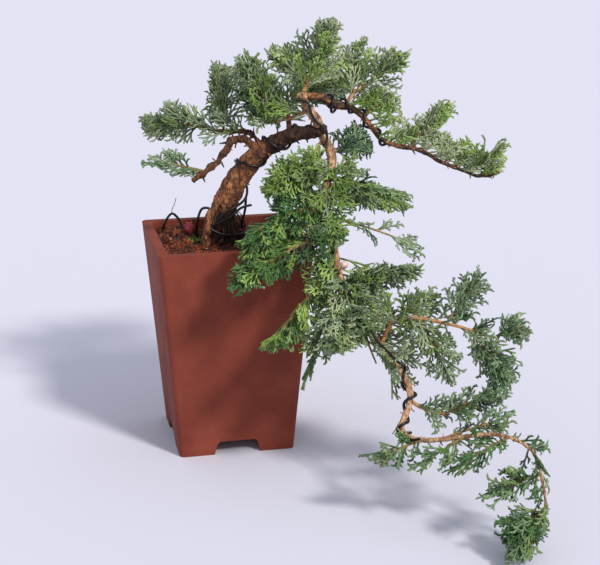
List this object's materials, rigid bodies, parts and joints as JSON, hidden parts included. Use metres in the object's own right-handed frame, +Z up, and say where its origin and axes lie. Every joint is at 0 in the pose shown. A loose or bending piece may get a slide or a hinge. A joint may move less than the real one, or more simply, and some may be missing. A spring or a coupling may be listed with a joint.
{
  "type": "juniper bonsai tree",
  "caption": "Juniper bonsai in semi-cascade style: a bent trunk with wired limbs and a long limb that hangs past the rim of a tall, square, tapering clay pot.",
  "frame": {"origin": "on the table, under the middle of the whole plant and pot", "axes": "+Z up, +X to the right along the pot's front side, +Y towards the back; the long limb hangs towards -Y and +X"},
  "size_m": [0.3044, 0.3842, 0.3648],
  "materials": {
    "clay": "unglazed, matt",
    "soil": "rough, gritty",
    "bark_trunk": "rough bark, matt",
    "bark_shade": "rough bark, matt",
    "bark_tan": "rough bark, matt",
    "bark_twig": "rough bark, matt",
    "wire": "black anodised, satin",
    "foliage_bright": "leathery scale leaves, matt",
    "foliage_mid": "leathery scale leaves, matt",
    "foliage_grey": "leathery scale leaves, matt",
    "foliage_dark": "leathery scale leaves, matt"
  },
  "bodies": {
    "root": {"pot": "clay", "soil": "soil", "trunk": "bark_trunk", "arch_bough": "bark_trunk", "cut_bough": "bark_trunk", "left_bough": "bark_trunk", "top_limb": "bark_tan", "crest_twig": "bark_tan", "crown_bough": "bark_twig", "right_bough": "bark_shade", "right_bough_outer": "bark_shade", "upper_right_bough": "bark_tan", "back_bough": "bark_shade", "cascade_upper": "bark_tan", "cascade_middle": "bark_tan", "cascade_drop": "bark_tan", "cascade_tail": "bark_tan", "cascade_tip": "bark_tan", "far_right_bough": "bark_twig", "lower_right_bough": "bark_twig", "trunk_wire": "wire", "crown_wire": "wire", "cascade_wire": "wire", "far_left_pad": "foliage_grey", "left_pad_low": "foliage_grey", "left_pad_high": "foliage_mid", "cut_bough_spray": "foliage_grey", "crown_left": "foliage_mid", "crown_top": "foliage_grey", "upper_right_rear": "foliage_mid", "upper_right_tip": "foliage_mid", "right_pad_inner": "foliage_bright", "right_pad_middle": "foliage_bright", "right_pad_tip": "foliage_bright", "shade_tuft": "foliage_dark", "front_pad_high": "foliage_bright", "front_pad_middle": "foliage_bright", "front_pad_low": "foliage_bright", "front_droop": "foliage_bright", "right_mid_pad": "foliage_mid", "sparse_twig": "foliage_dark", "right_low_pad": "foliage_grey", "centre_pad": "foliage_grey", "limb_pad": "foliage_mid", "hanging_spray": "foliage_mid", "far_right_high": "foliage_dark", "far_right_tip": "foliage_dark", "far_right_low": "foliage_dark", "far_right_inner": "foliage_grey", "lower_right_spray": "foliage_dark", "tail_top_spray": "foliage_dark", "tail_left_spray": "foliage_mid", "tail_under_inner": "foliage_mid", "tail_under_outer": "foliage_mid", "tip_mass": "foliage_mid", "tip_left_spray": "foliage_mid", "sagging_twig": "foliage_grey", "back_pad_left": "foliage_mid", "back_pad_right": "foliage_mid", "cascade_back": "foliage_dark"}
  },
  "joints": []
}
